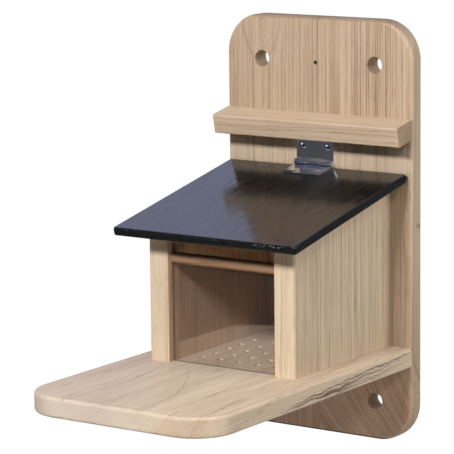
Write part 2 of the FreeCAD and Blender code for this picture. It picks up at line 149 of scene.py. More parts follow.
def length(tree, vector):
    return add(tree, "ShaderNodeVectorMath", {"operation": "LENGTH"},
               _0=vector).outputs["Value"]


def axes(tree, vector):
    """A vector's x, y and z."""
    return tuple(add(tree, "ShaderNodeSeparateXYZ", Vector=vector).outputs)


# %% Patterns, masks and blends
MIDDLE = (0.3, 0.7)   # most of a noise's values lie between these


def noise(tree, vector, scale, detail=2.0, rough=0.5, kind="3D", output="Fac"):
    """Cloudy noise over a place, or in 1D along a single number."""
    node = add(tree, "ShaderNodeTexNoise", {"noise_dimensions": kind}, Scale=scale,
               Detail=detail, Roughness=rough)
    put(tree, node.inputs["W" if kind == "1D" else "Vector"], vector)
    return node.outputs[output]


def remap(tree, value, low, high, to_low=0.0, to_high=1.0, smooth=False):
    """Turn the range low to high into another, and hold its ends outside it."""
    shape = {"interpolation_type": "SMOOTHSTEP" if smooth else "LINEAR"}
    return add(tree, "ShaderNodeMapRange", shape, _0=value, _1=low, _2=high, _3=to_low,
               _4=to_high).outputs[0]


def band(tree, value, start, full, strength=1.0, smooth=False):
    """A mask that is nothing at start and has its whole strength from full onwards."""
    return remap(tree, value, start, full, 0.0, strength, smooth)


def blend_colour(tree, factor, a, b):
    """Colour a where the factor is nought, colour b where it is one."""
    return add(tree, "ShaderNodeMix", {"data_type": "RGBA"}, _0=factor, _6=a,
               _7=b).outputs[2]


# %% Groups, materials and colours
def new_group(name, inputs, outputs):
    """An empty shader group with named sockets: (name, kind, default)."""
    tree = bpy.data.node_groups.new(name, "ShaderNodeTree")
    for label, kind, default in inputs:
        socket = tree.interface.new_socket(label, in_out="INPUT", socket_type=kind)
        if default is not None:
            socket.default_value = default
    for label, kind in outputs:
        tree.interface.new_socket(label, in_out="OUTPUT", socket_type=kind)
    return tree, tree.nodes.new("NodeGroupInput"), tree.nodes.new("NodeGroupOutput")


def new_material(name):
    """A new material, its node tree and its Principled shader."""
    material = bpy.data.materials.new(name)
    material.use_nodes = True
    tree = material.node_tree
    return material, tree, tree.nodes["Principled BSDF"]


def ripple_surface(tree, shader, height, strength, distance):
    """Let a height pattern turn the surface's normal, without moving its points."""
    bump = add(tree, "ShaderNodeBump", Strength=strength, Distance=distance, Height=height)
    put(tree, shader.inputs["Normal"], bump.outputs[0])


def mix_shaders(tree, factor, first, second):
    """Send a blend of two shaders to the material's output."""
    mix = add(tree, "ShaderNodeMixShader", _0=factor, _1=first.outputs[0],
              _2=second.outputs[0])
    put(tree, tree.nodes["Material Output"].inputs["Surface"], mix.outputs[0])


def rgb(red, green, blue):
    """A colour as a paint chart gives it, 0 to 255, turned into linear light."""
    return tuple(((v / 255 + 0.055) / 1.055) ** 2.4 if v > 10 else v / 3295
                 for v in (red, green, blue)) + (1.0,)


print("half of a paint chart's scale is", round(rgb(128, 128, 128)[0], 3), "of white light")

# %% [markdown]
# ## Oak, as a solid
# A tree grows in rings, and a board is a slice of them. So the wood here isn't painted
# on the faces: it is a solid pattern of cones around a pith line that lies near or
# outside the board. Where a face cuts the rings flat they make arches; where it cuts
# them steeply they make straight lines; and on the ends they show as curves. One
# node group holds that, with the pith's place as its inputs.

# %% The ring group's inputs
NUMBER, VECTOR, COLOUR = "NodeSocketFloat", "NodeSocketVector", "NodeSocketColor"
rings, entry, result = new_group("oak rings", [
    ("Vector", VECTOR, None),            # x across the face, y into the board, z along it
    ("Face", VECTOR, None),              # the way the surface faces, turned in the same way
    ("Pith", VECTOR, (0.0, 0.05, 0.0)),  # where the pith runs, at z = 0
    ("Lean", VECTOR, (0.0, 0.0, 0.0)),   # how far it moves in x and y for each metre of z
    ("Ring width", NUMBER, 0.003),
    ("Wander", NUMBER, 0.004),
    ("Sweep", NUMBER, 0.0),              # turns the grain aside below the sweep's start
    ("Sweep start", NUMBER, 0.0),
    ("Fork", NUMBER, 0.0),               # opens the rings into a V above the fork's start
    ("Fork start", NUMBER, 0.0),
    ("Knot", VECTOR, (0.0, 0.0, 9.0)),   # a knot pushes the rings aside; far away means none
    ("Knot size", NUMBER, 0.008),
    ("Light", COLOUR, rgb(206, 180, 148)),
    ("Dark", COLOUR, rgb(150, 118, 86)),
    ("Line", NUMBER, 0.5),               # strength of the dark line between rings
    ("Pores", NUMBER, 0.5),
    ("Fibre", NUMBER, 0.5),
    ("End grain", NUMBER, 0.3),          # how much darker the sawn ends are
    ("Seed", NUMBER, 0.0),
], [("Color", COLOUR), ("Roughness", NUMBER), ("Height", NUMBER)])
given = entry.outputs
print("the ring group takes", sum(item.in_out == "INPUT" for item in rings.interface.items_tree),
      "inputs")

# %% [markdown]
# ## Wood that isn't quite straight
# A trunk wavers as it grows, so before anything is measured the place is pushed aside:
# by a slow wave, by a small ripple, and towards a knot if the board has one. All that
# is drawn afterwards bends with it, which is why the rings part round the knot.

# %% Waves and a knot
WAVE, RIPPLE = (7.0, 7.0, 2.2), (70.0, 70.0, 11.0)   # how busy, across, into and along
WAVE_PUSH, RIPPLE_PUSH = 4.0, 0.3                    # in shares of the board's wander
KNOT_SHAPE = (1.0, 0.35, 0.55)                       # a knot's push is long in y and z
KNOT_FADE, KNOT_PUSH = -0.7, -1.6
seed = given["Seed"]
seeded = vector_maths(rings, "ADD", given["Vector"],
                      add(rings, "ShaderNodeCombineXYZ", X=seed, Y=seed, Z=seed).outputs[0])


def wave(busy, strength):
    """A push that changes slowly from place to place."""
    cloud = noise(rings, stretched(rings, seeded, busy), 1.0, output="Color")
    return scaled(rings, vector_maths(rings, "SUBTRACT", cloud, (0.5, 0.5, 0.5)),
                  times(rings, given["Wander"], strength))


away = stretched(rings, vector_maths(rings, "SUBTRACT", given["Vector"], given["Knot"]),
                 KNOT_SHAPE)
reach = maths(rings, "DIVIDE", length(rings, away), given["Knot size"])
push = scaled(rings, away, times(rings, e_to(rings, times(rings, reach, KNOT_FADE)), KNOT_PUSH))
warped = given["Vector"]
for shift in (wave(WAVE, WAVE_PUSH), wave(RIPPLE, RIPPLE_PUSH), push):
    warped = vector_maths(rings, "ADD", warped, shift)

# %% [markdown]
# ## Counting the years
# The distance from the pith, divided by one year's growth, counts the rings. The whole
# part of that count is the year, which picks how bold its line is. The rest runs from
# the pale spring wood at 0 to the dark late wood at 1.

# %% Distance from the pith
FORK_NEAR, FORK_FAR = 0.012, 0.03   # the V closes between these distances from the pith
x, y, z = axes(rings, warped)
pith_x, pith_y, _ = axes(rings, given["Pith"])
lean_x, lean_y, _ = axes(rings, given["Lean"])
below = maths(rings, "MAXIMUM", minus(rings, given["Sweep start"], z), 0.0)
swept = times(rings, below, below, given["Sweep"])
off_x = minus(rings, minus(rings, x, swept), multiple_plus(rings, lean_x, z, pith_x))
off_y = minus(rings, y, multiple_plus(rings, lean_y, z, pith_y))
radius = maths(rings, "SQRT", multiple_plus(rings, off_x, off_x, times(rings, off_y, off_y)))
above = maths(rings, "MAXIMUM", minus(rings, z, given["Fork start"]), 0.0)
above = times(rings, above, remap(rings, radius, FORK_NEAR, FORK_FAR, 1.0, 0.0))
radius = minus(rings, radius, times(rings, above, given["Fork"]))

# %% Years, wide and narrow
UNEVEN_YEARS, UNEVEN_EVERY = 1.5, 0.4   # how far the count strays, and how often
count = maths(rings, "DIVIDE", radius, given["Ring width"])
uneven = noise(rings, plus(rings, count, seed), UNEVEN_EVERY, 1.0, 0.5, "1D")
count = multiple_plus(rings, uneven, UNEVEN_YEARS, count)
part = maths(rings, "FRACT", count)
year = add(rings, "ShaderNodeTexWhiteNoise", {"noise_dimensions": "1D"},
           W=maths(rings, "FLOOR", count)).outputs["Value"]

# %% [markdown]
# ## Fibres, pores and patches
# Oak is stringy. Hair-thin fibres run along it, short open pores lie mostly in the
# spring wood, and slow patches of tone cross many rings. Each is noise drawn out along
# the grain. On a sawn end or a narrow edge the fibres are cut across and show less.

# %% Fibres, pores and patches
END_FACING, PORE_CUT = (0.35, 0.8), (0.53, 0.66)


def along(stretch, scale, detail):
    """Noise along the grain; the smaller the stretch, the longer its streaks."""
    aside = add(rings, "ShaderNodeCombineXYZ", X=times(rings, swept, -1.0)).outputs[0]
    longer = vector_maths(rings, "ADD", vector_maths(rings, "ADD", seeded, push), aside)
    return noise(rings, stretched(rings, longer, (1.0, 1.0, stretch)), scale, detail, 0.6)


face_x, _, face_z = axes(rings, given["Face"])
end = band(rings, unsigned(rings, face_z), *END_FACING, smooth=True)
edge = unsigned(rings, face_x)
side = times(rings, dimmed(rings, end, 0.75), dimmed(rings, edge, 0.65))
fibre = along(0.011, 800.0, 3.0)
streak = along(0.008, 300.0, 2.0)
patch = along(0.3, 16.0, 3.0)
spring = band(rings, part, 0.3, 0.0)
pore = times(rings, band(rings, along(0.05, 1000.0, 1.0), *PORE_CUT),
             multiple_plus(rings, spring, 0.75, 0.25))

# %% [markdown]
# ## Late wood and sawn ends
# Late wood darkens slowly towards the ring's edge and stops at once where the next
# spring starts, so a ring's line is soft on one side and sharp on the other. A sawn
# end shows each year as a fine arc instead, so there the lines fade and arcs come.

# %% Late wood and sawn ends
LATE_THICK, FORK_THICK = 0.4 * MM, 0.014   # a line's depth, and its growth inside a fork
END_YEAR = 2.2 * MM                        # from one arc to the next on a sawn end
to_edge = times(rings, minus(rings, part, 1.0), given["Ring width"])
late = e_to(rings, maths(rings, "DIVIDE", to_edge,
                         multiple_plus(rings, above, FORK_THICK, LATE_THICK)))
late = multiple_plus(rings, maths(rings, "POWER", part, 4.0), 0.22, late)
bold = remap(rings, maths(rings, "POWER", year, 2.0), 0.0, 1.0, 0.2, 1.4)
line = times(rings, late, bold, remap(rings, patch, 0.35, 0.6, 0.65, 1.0),
             dimmed(rings, end, 0.55), dimmed(rings, edge, 0.5),
             multiple_plus(rings, above, 25.0, 1.0))
arc = maths(rings, "POWER", maths(rings, "FRACT", maths(rings, "DIVIDE", radius, END_YEAR)), 3.0)
arc = times(rings, arc, end, remap(rings, patch, 0.45, 0.65, 0.03, 0.5))

# %% Colour, roughness and height
dark = plus(
    rings,
    multiple_plus(rings, line, given["Line"], 0.2),                # lines on a base tone
    arc,
    swing(rings, year, 0.08),                                      # each year its own tone
    swing(rings, patch, 0.4),
    times(rings, swing(rings, fibre, 2.7), side, given["Fibre"]),
    times(rings, swing(rings, streak, 0.9), side, given["Fibre"]),
    times(rings, pore, given["Pores"]),
    times(rings, end, given["End grain"]),
    band(rings, reach, 0.75, 0.25, 1.0, True))                     # the knot's dark heart
height = multiple_plus(rings, pore, -0.8, times(rings, fibre, 0.6))
fill(rings, result, Color=blend_colour(rings, dark, given["Light"], given["Dark"]),
     Roughness=remap(rings, fibre, *MIDDLE, 0.42, 0.56),
     Height=multiple_plus(rings, late, 0.25, height))
print("ring group has", len(rings.nodes), "nodes")

# %% [markdown]
# ## One board, one piece of timber
# Each board was cut from its own plank, so each gets its own material: the same group,
# turned so that its z runs along that board's grain, with its own pith and tone. Short
# functions then lay that board's own marks over its wood, each mark a mask and a colour:
# some are the wood's own joints, tones and figure, and some are painted light and shade.

# %% One board's material
QUARTER = math.radians(90)
GRAIN = {   # rotation that brings the board's own grain, face and thickness to z, x, y
    "up": (0.0, 0.0, 0.0),
    "cheek": (0.0, 0.0, QUARTER),
    "front_to_back": (-QUARTER, 0.0, 0.0),
    "across": (0.0, QUARTER, 0.0),
}


def lay_over(tree, colour, marks):
    """Lay marks over a colour in turn: pairs of a mask and a paint-chart colour."""
    for mask, over in marks:
        colour = blend_colour(tree, mask, colour, rgb(*over))
    return colour


def oak(name, grain, *marks, **values):
    """One board's material: the ring group's inputs by name, and the board's marks."""
    material, tree, shader = new_material(name)
    place, facing = where(tree), where(tree, "Normal")
    turned, turned_face = (
        add(tree, "ShaderNodeMapping", Vector=vector, Rotation=GRAIN[grain]).outputs[0]
        for vector in (place, facing))
    group = add(tree, "ShaderNodeGroup", {"node_tree": rings}, Vector=turned,
                Face=turned_face, **values)
    colour = group.outputs["Color"]
    for mark in marks:
        colour = mark(tree, place, facing, colour)
    ripple_surface(tree, shader, group.outputs["Height"], 0.35, 0.3 * MM)
    fill(tree, shader, Base_Color=colour, Roughness=group.outputs["Roughness"], IOR=1.45,
         Specular_IOR_Level=0.35)
    print(name, "has", len(tree.nodes), "nodes")
    return material


# %% [markdown]
# ## The backboard
# Two staves from different planks are glued edge to edge, and the joint shows as a thin
# line. The other marks are painted light and shade. Painted shade darkens the underside
# and the top rim, and makes the foot, in the platform's shadow, redder and a little
# darker. Painted light makes the strip just below the ledge's shadow paler, where the
# glossy lid throws light up, and lightens the upper half of the right-facing edge.
# Painted shade darkens the inside of the small nail hole near the top.

# %% Marks on the backboard
JOINT, JOINT_SHOWS = (0.6 * MM, 0.2 * MM), (-0.14, 0.1)   # where a mask starts and is full
FRONT_FACING, RIGHT_FACING = (-0.5, -0.95), (0.5, 0.9)
# painted shade: underside, top rim and foot; painted light: strip below the ledge and right
# edge; painted shade in the nail hole
PAINTED_UNDERSIDE_SHADE, PAINTED_TOP_RIM_SHADE = (-0.1888, -0.1902), (0.1925, 0.195)
PAINTED_FOOT_SHADE, PAINTED_EDGE_LIGHT = (-0.105, -0.135), (-0.1, 0.0)
PAINTED_LIGHT_LEVEL, PAINTED_LIGHT_HALF = 0.070, (13 * MM, 8 * MM)
NAIL_HOLE, PAINTED_NAIL_SHADE = (-0.0024, 0.0, 0.1545), (2.0 * MM, 1.7 * MM)


def backboard_marks(tree, place, facing, colour):
    x, _, z = axes(tree, place)
    face_x, face_y, _ = axes(tree, facing)
    front = band(tree, face_y, *FRONT_FACING)
    right = band(tree, face_x, *RIGHT_FACING, 0.25)
    joint = times(tree, band(tree, unsigned(tree, x), *JOINT, 0.6),
                  remap(tree, z, *JOINT_SHOWS, 0.1, 1.0))
    from_painted_light = unsigned(tree, minus(tree, z, PAINTED_LIGHT_LEVEL))
    from_nail = length(tree, stretched(tree, vector_maths(tree, "SUBTRACT", place, NAIL_HOLE),
                                       (1.0, 0.0, 1.0)))
    return lay_over(tree, colour, [
        (joint, (78, 56, 40)),
        # painted shade along the board's underside
        (band(tree, z, *PAINTED_UNDERSIDE_SHADE, smooth=True), (44, 33, 27)),
        # painted shade on the board's top rim
        (band(tree, z, *PAINTED_TOP_RIM_SHADE, 0.45, True), (112, 100, 78)),
        # painted shade colour: the foot, in the platform's shadow, redder and a little darker
        (times(tree, front, band(tree, z, *PAINTED_FOOT_SHADE, 0.13)), (190, 122, 108)),
        # painted light: the strip just below the ledge's shadow made paler, as if lit from the
        # glossy lid
        (times(tree, front, band(tree, from_painted_light, *PAINTED_LIGHT_HALF, 0.16, True)), (255, 240, 218)),
        # painted light on the upper half of the right-facing edge
        (times(tree, right, band(tree, z, *PAINTED_EDGE_LIGHT)), (226, 208, 182)),
        # painted shade inside the nail hole and just round its rim
        (band(tree, from_nail, *PAINTED_NAIL_SHADE, 0.95), (20, 14, 12))])


# %% The two staves
STAVE_DARK = rgb(128, 98, 72)
LEFT_STAVE = oak("oak left stave", "up", backboard_marks, Pith=(-0.0617, -0.0163, 0.0),
                 Ring_width=0.0042, Wander=0.0018, Line=0.7, Fork=0.65, Fork_start=0.158,
                 Seed=0.13, End_grain=0.2, Light=rgb(190, 166, 140), Dark=STAVE_DARK)
RIGHT_STAVE = oak("oak right stave", "up", backboard_marks, Pith=(0.22, 0.06, 0.0),
                  Lean=(0.0, 0.03, 0.0), Ring_width=0.0023, Wander=0.0025, Line=0.8,
                  Fibre=0.6, Seed=2.7, End_grain=0.2, Sweep=5.0, Sweep_start=-0.09,
                  Knot=(0.099, -0.006, 0.010), Knot_size=0.003,
                  Light=rgb(197, 172, 146), Dark=STAVE_DARK)

# %% [markdown]
# ## The ledge and the dowel
# The ledge is one stick with its grain along it. The dowel above the opening is of a
# redder wood with narrow rings. Neither has a mark of its own.

# %% The ledge and the dowel
LEDGE = oak("oak ledge", "across", Pith=(0.06, 0.08, 0.0), Lean=(0.01, 0.02, 0.0),
            Ring_width=0.003, Wander=0.003, Line=0.5, Seed=5.1,
            Light=rgb(207, 184, 158), Dark=rgb(146, 116, 87))
DOWEL_WOOD = oak("red-brown dowel", "across", Pith=(0.0, 0.03, 0.0), Lean=(0.0, 0.02, 0.0),
                 Ring_width=0.0016, Wander=0.001, Seed=3.3,
                 Light=rgb(170, 135, 108), Dark=rgb(130, 94, 68))

# %% [markdown]
# ## The groove
# The pane slides in a groove that runs up both cheeks and across the platform. Painted
# shade darkens its two lips, and one function paints that shade for all three boards.

# %% Lips of the groove
GROOVE_Y, GROOVE_HALF, GROOVE_END = -0.169, 1.9 * MM, 0.0568
PAINTED_LIP_SHADE = (0.7 * MM, 0.2 * MM)


def painted_groove_shade(tree, place, facing, colour):
    x, y, _ = axes(tree, place)
    from_lip = unsigned(tree, minus(tree, unsigned(tree, minus(tree, y, GROOVE_Y)), GROOVE_HALF))
    inside = maths(tree, "LESS_THAN", unsigned(tree, x), GROOVE_END)
    # painted shade along both lips of the groove
    mask = times(tree, band(tree, from_lip, *PAINTED_LIP_SHADE, 0.85), inside)
    return lay_over(tree, colour, [(mask, (70, 52, 40))])


# %% [markdown]
# ## The platform
# The broad platform was sawn close to the tree's heart, so its rings are wide arches.
# Its front end is paler. Painted shade makes its left half greyer and darker, painted
# light makes its right edge paler, and each drain hole's bore is painted light, with
# painted shade on the wall that faces right.

# %% Marks on the platform
# painted shade on the left half and in the bores; painted light on the right edge and the bores
PAINTED_LEFT_SHADE, EDGE_FACING, PAINTED_BORE_SHADE = (0.05, -0.09), (0.6, 0.95), (0.55, 0.8)
PAINTED_SIDE_LIGHT_SPAN, SAWN_END, SAWN_ACROSS = (-0.3, -0.27), (-0.336, -0.3405), (0.06, 0.02)
DRAIN_HALF, DRAIN_FRONT, DRAIN_DEPTH = 0.056, -0.166, (-0.1016, -0.1018)


def platform_marks(tree, place, facing, colour):
    x, y, z = axes(tree, place)
    face_x, _, _ = axes(tree, facing)
    bore = times(tree, maths(tree, "LESS_THAN", unsigned(tree, x), DRAIN_HALF),
                 maths(tree, "GREATER_THAN", y, DRAIN_FRONT), band(tree, z, *DRAIN_DEPTH))
    # painted light on the right-facing edge, towards the front
    painted_side_light = times(tree, band(tree, face_x, *EDGE_FACING, 0.1), band(tree, y, *PAINTED_SIDE_LIGHT_SPAN))
    sawn = times(tree, band(tree, y, *SAWN_END, 0.3), band(tree, x, *SAWN_ACROSS))
    return lay_over(tree, colour, [
        # painted shade: the left half greyer and darker
        (band(tree, x, *PAINTED_LEFT_SHADE, 0.4), (183, 167, 160)),
        (painted_side_light, (244, 227, 202)),
        (sawn, (214, 206, 196)),
        # painted light on each drain hole's bore, then painted shade on its right-facing wall
        (bore, (248, 232, 212)),
        (band(tree, times(tree, bore, face_x), *PAINTED_BORE_SHADE, 0.9), (52, 38, 30))])


# %% [markdown]
# ## The platform's figure
# Near the heart a few rings are much darker than their neighbours. They show as bold
# slanting lines along the board's right edge and as two long curves on its top. They
# are so few and so plain to see that each is listed one by one: two ends, a level, a
# slope and a bow.

# %% Lines of the figure
EDGE_FACE, TOP_FACE = (0.09, 0.0985), (-0.1035, -0.1025)
EDGE_WOBBLE, TOP_WOBBLE, END_FADE = 9 * MM, 5 * MM, 30 * MM
WOBBLE_BUSY = (60.0, 45.0, 60.0)
FIGURE = [   # face, front end, rear end, level, slope and bow, half width, strength
    ("edge", -0.22, -0.01, -0.1150, 0.085, -0.18, 0.0009, 0.95),
    ("edge", -0.20, -0.05, -0.1158, 0.052, 0.0, 0.0007, 0.9),
    ("edge", -0.235, -0.1, -0.1165, 0.03, 0.0, 0.0010, 0.95),
    ("edge", -0.185, -0.11, -0.1155, 0.01, 0.0, 0.0013, 0.95),
    ("edge", -0.17, -0.03, -0.1185, 0.055, 0.0, 0.0007, 0.9),
    ("edge", -0.13, -0.045, -0.1185, 0.06, 0.0, 0.0006, 0.9),
    ("edge", -0.215, -0.08, -0.1172, 0.07, -0.1, 0.0006, 0.8),
    ("edge", -0.15, -0.02, -0.1150, 0.07, 0.0, 0.0005, 0.8),
    ("edge", -0.24, -0.14, -0.1145, 0.03, 0.0, 0.0007, 0.7),
    ("edge", -0.26, -0.17, -0.1170, 0.02, 0.0, 0.0005, 0.6),
    ("top", -0.37, -0.18, 0.0252, 0.214, -2.84, 0.0008, 0.55),
    ("top", -0.37, -0.17, -0.0589, 0.34, -1.8, 0.0009, 0.55)]


def figure_line(tree, spot, wavy, face, front, rear, level, slope, bow, half, strength):
    """The mask of a thin line from front to rear, on the right edge or on the top."""
    x, y, z = spot
    if face == "edge":
        across, wobble, mask = z, EDGE_WOBBLE, band(tree, x, *EDGE_FACE)
    else:
        across, wobble, mask = x, TOP_WOBBLE, band(tree, z, *TOP_FACE)
    run = minus(tree, y, front)
    path = multiple_plus(tree, multiple_plus(tree, run, bow, slope), run, level)
    from_line = unsigned(tree, minus(tree, across, plus(tree, path, swing(tree, wavy, wobble))))
    return times(tree, mask, band(tree, from_line, half, 0.0, strength, True),
                 band(tree, y, front, front + END_FADE), band(tree, y, rear, rear - END_FADE))


def figure_lines(tree, place, facing, colour):
    """Every line of the figure; they all waver together, as rings of one tree do."""
    spot = axes(tree, place)
    wavy = noise(tree, stretched(tree, place, WOBBLE_BUSY), 1.0, 3.0)
    return lay_over(tree, colour, [(figure_line(tree, spot, wavy, *row), (88, 64, 44))
                                   for row in FIGURE])


PLATFORM = oak("oak platform", "front_to_back", platform_marks, painted_groove_shade, figure_lines,
               Pith=(-0.038, -0.0267, 0.0), Lean=(0.083, -0.087, 0.0), Ring_width=0.02,
               Wander=0.0018, Line=0.3, Pores=0.8, Seed=7.7, End_grain=0.12, Fibre=0.55,
               Light=rgb(223, 202, 177), Dark=rgb(156, 127, 98))

# %% [markdown]
# ## The cheeks
# The two side walls stand with their grain upright, and their rings run nearly straight
# because the pith is far off. The left one's inner face, which looks into the chamber,
# has a painted shade colour: a redder tint standing in for warm light bounced inside.

# %% The cheeks
def painted_chamber_tint(tree, place, facing, colour):
    """Painted shade colour: redder where the board looks to the right, into the chamber."""
    face_x, _, _ = axes(tree, facing)
    # painted shade colour: the warm tint of the chamber's bounced light
    return lay_over(tree, colour, [(band(tree, face_x, *EDGE_FACING, 0.3), (233, 182, 144))])


CHEEK_DARK = rgb(160, 130, 100)
LEFT_CHEEK = oak("oak left cheek", "cheek", painted_chamber_tint, painted_groove_shade, Pith=(0.2, 0.05, 0.0),
                 Lean=(0.0, 0.02, 0.0), Wander=0.003, Line=0.65, Pores=0.6, Seed=9.4,
                 Fibre=0.95, Light=rgb(218, 198, 172), Dark=CHEEK_DARK)
RIGHT_CHEEK = oak("oak right cheek", "cheek", painted_groove_shade, Pith=(0.25, 0.09, 0.0),
                  Lean=(0.0, 0.02, 0.0), Wander=0.003, Line=0.55, Pores=0.5, Seed=11.9,
                  Fibre=0.75, Light=rgb(224, 204, 176), Dark=CHEEK_DARK)

# %% [markdown]
# ## Black paint
# The lid is a thin board under brushed gloss paint. Paint hides the grain, so what
# shows is the brush: long marks from back to front, and slow pools where it ran
# together. Both change the gloss and the height a little. The paint has come off in a
# short run of chips near the right-hand end of the front edge.

# %% Paint
BRUSH_STRETCH, POOL_STRETCH = (1.0, 0.05, 0.3), (1.0, 0.4, 1.0)   # both longest in y
CHIP_X, CHIP_HALF, FRONT_EDGE = 0.069, (17 * MM, 12 * MM), (-0.2055, -0.2066)
PAINT, tree, shader = new_material("black gloss paint")
place = where(tree)
x, y, _ = axes(tree, place)
brushed = noise(tree, stretched(tree, place, BRUSH_STRETCH), 420.0, 3.0)
pools = noise(tree, stretched(tree, place, POOL_STRETCH), 38.0, 3.0)
dust = noise(tree, place, 900.0, 1.0)
beside = unsigned(tree, minus(tree, x, CHIP_X))
chip = times(tree, band(tree, noise(tree, place, 420.0), 0.55, 0.6), band(tree, y, *FRONT_EDGE),
             remap(tree, beside, *CHIP_HALF, 0.07, 1.0))
specks = times(tree, band(tree, dust, 0.72, 0.76), 0.25)
bare = maths(tree, "MAXIMUM", chip, specks)
rough = plus(tree, remap(tree, brushed, 0.35, 0.65, 0.07, 0.24), times(tree, bare, 0.4))
fill(tree, shader, Base_Color=blend_colour(tree, bare, rgb(19, 19, 21), rgb(208, 202, 192)),
     Roughness=rough, IOR=1.5)
height = multiple_plus(tree, bare, -0.8, multiple_plus(tree, pools, 0.8, brushed))
ripple_surface(tree, shader, height, 0.6, 0.2 * MM)
print(PAINT.name, "has", len(tree.nodes), "nodes")

# %% [markdown]
# ## Zinc
# The hinge is stamped steel sheet with a thin coat of zinc. A metal has no colour under
# its gloss: its base colour tints what it mirrors, here a little blue. A cloudy
# roughness keeps it from looking chromed.

# %% Zinc
ZINC, tree, shader = new_material("dull zinc")
place = where(tree)
cloud = noise(tree, place, 260.0, 4.0, 0.65)
fine = noise(tree, place, 1500.0)
bloom = band(tree, cloud, *MIDDLE)
fill(tree, shader, Base_Color=blend_colour(tree, bloom, rgb(226, 232, 246), rgb(240, 244, 252)),
     Metallic=1.0, Roughness=remap(tree, cloud, *MIDDLE, 0.14, 0.19))
ripple_surface(tree, shader, plus(tree, cloud, times(tree, fine, 0.3)), 0.06, 0.1 * MM)
print(ZINC.name, "has", len(tree.nodes), "nodes")

# %% [markdown]
# ## Screws
# The screws are plated brighter than the hinge. Light that enters the recess hardly
# gets out again, so its black is painted shade: the mesh carries a layer named recess,
# one at the pit and nought elsewhere, and the material paints the pit near-black there.

# %% Bright screws
SCREW, tree, shader = new_material("bright screw steel")
cloud = noise(tree, where(tree), 900.0, 3.0)
bright = blend_colour(tree, band(tree, cloud, *MIDDLE), rgb(226, 228, 226), rgb(244, 245, 244))
recess = add(tree, "ShaderNodeAttribute", {"attribute_name": "recess"}).outputs["Fac"]
fill(tree, shader, Metallic=1.0, Roughness=remap(tree, cloud, *MIDDLE, 0.16, 0.26),
     # painted shade: near-black where the recess layer marks the pit
     Base_Color=blend_colour(tree, band(tree, recess, 0.05, 0.4), bright, rgb(16, 15, 14)))
print(SCREW.name, "has", len(tree.nodes), "nodes")

# %% [markdown]
# ## Acrylic
# The pane is a clear sheet with a faint smear. Its index is set above acrylic's own, so
# that it mirrors the room more plainly. A shadow ray, or one that has already left a
# matt face, goes straight through, because a renderer treats glass as solid there and
# the pane would keep the light out of the chamber.

# %% Acrylic
SMEAR_STRETCH = (1.0, 1.0, 0.4)   # drawn out in z
ACRYLIC, tree, shader = new_material("clear acrylic")
smear = noise(tree, stretched(tree, where(tree), SMEAR_STRETCH), 60.0, 3.0)
smear = band(tree, smear, 0.4, 0.7, smooth=True)
fill(tree, shader, IOR=2.0, Transmission_Weight=1.0,
     Base_Color=blend_colour(tree, smear, rgb(226, 221, 219), rgb(221, 217, 215)),
     Roughness=remap(tree, smear, 0.0, 1.0, 0.01, 0.05))
path = add(tree, "ShaderNodeLightPath").outputs
goes_through = maths(tree, "MAXIMUM", path["Is Shadow Ray"],
                     maths(tree, "GREATER_THAN", path["Diffuse Depth"], 0.5))
mix_shaders(tree, goes_through, shader, add(tree, "ShaderNodeBsdfTransparent"))
print(ACRYLIC.name, "has", len(tree.nodes), "nodes")

# %% [markdown]
# ## Finishes on the model
# The CAD model's nodes keep their shape and place; each only gets its material. What
# isn't in the list is hardware, and takes zinc.

# %% Finishes on the model
FINISH = {
    "backboard_left": LEFT_STAVE, "backboard_right": RIGHT_STAVE, "ledge": LEDGE,
    "platform": PLATFORM, "side_left": LEFT_CHEEK, "side_right": RIGHT_CHEEK,
    "dowel": DOWEL_WOOD, "window": ACRYLIC, "lid": PAINT,
}
for name, piece in NODES.items():
    piece.data.materials.clear()
    piece.data.materials.append(FINISH.get(name, ZINC))
    print(name, "has", piece.data.materials[0].name)

# %% [markdown]
# ## The hinge
# A cheap butt hinge is two pieces of sheet. Each is cut back where the other turns, and
# its own tongues are rolled round the pin, which leaves a thin slot where the curl meets
# the leaf again. A solid tube would look like a casting, so each leaf is made the way the
# press makes it: an edge is drawn out along the leaf, then spun round the pin.

# %% Where the hinge sits
SLOPE = math.radians(11.6)                # the lid's fall to the front
PIN = Vector((0.0, -21.3, 62.6)) * MM     # a point on the pin's axis
LEAF_XS = [v * MM for v in (-22.5, -11.0, -10.8, 5.8, 6.0, 17.5)]   # ends and slits
REACH, CUT_BACK = 24.0 * MM, 3.3 * MM     # from the pin to the leaf's tip and to its cut
THICK, LEAF_OFF = 1.2 * MM, 2.7 * MM      # the sheet, and how far its middle lies from the pin
NECK_REACH, NECK_OFF = 2.0 * MM, 2.62 * MM   # where a tongue begins to leave the leaf
CURL = 2.4 * MM                           # radius of the rolled sheet's middle
SCREW_AT, SCREW_XS = 14.5 * MM, (-16.0 * MM, 11.0 * MM)
HOLE_RADIUS, HOLE_DEPTH = 2.62 * MM, 6.0 * MM   # as wide as a screw's head
NEAR = 1e-6                               # points closer than this are the same
X_AXIS = Vector((1.0, 0.0, 0.0))


def down_slope(v):
    return Matrix.Rotation(SLOPE, 3, "X") @ Vector(v)


def from_pin(along, far, off, out):
    """The point this far from the pin along a leaf, and this far off to its side."""
    return PIN + Vector(along) * far + Vector(off) * out


print("the lid falls", round(math.degrees(SLOPE), 1), "degrees to the front")

# %% [markdown]
# ## From a bmesh to a finished piece
# Every made piece goes the same way: its bmesh becomes a mesh, modifiers cut or round
# it and are baked in, and the frame learns which CAD node it replaces and which body it
# moves with.

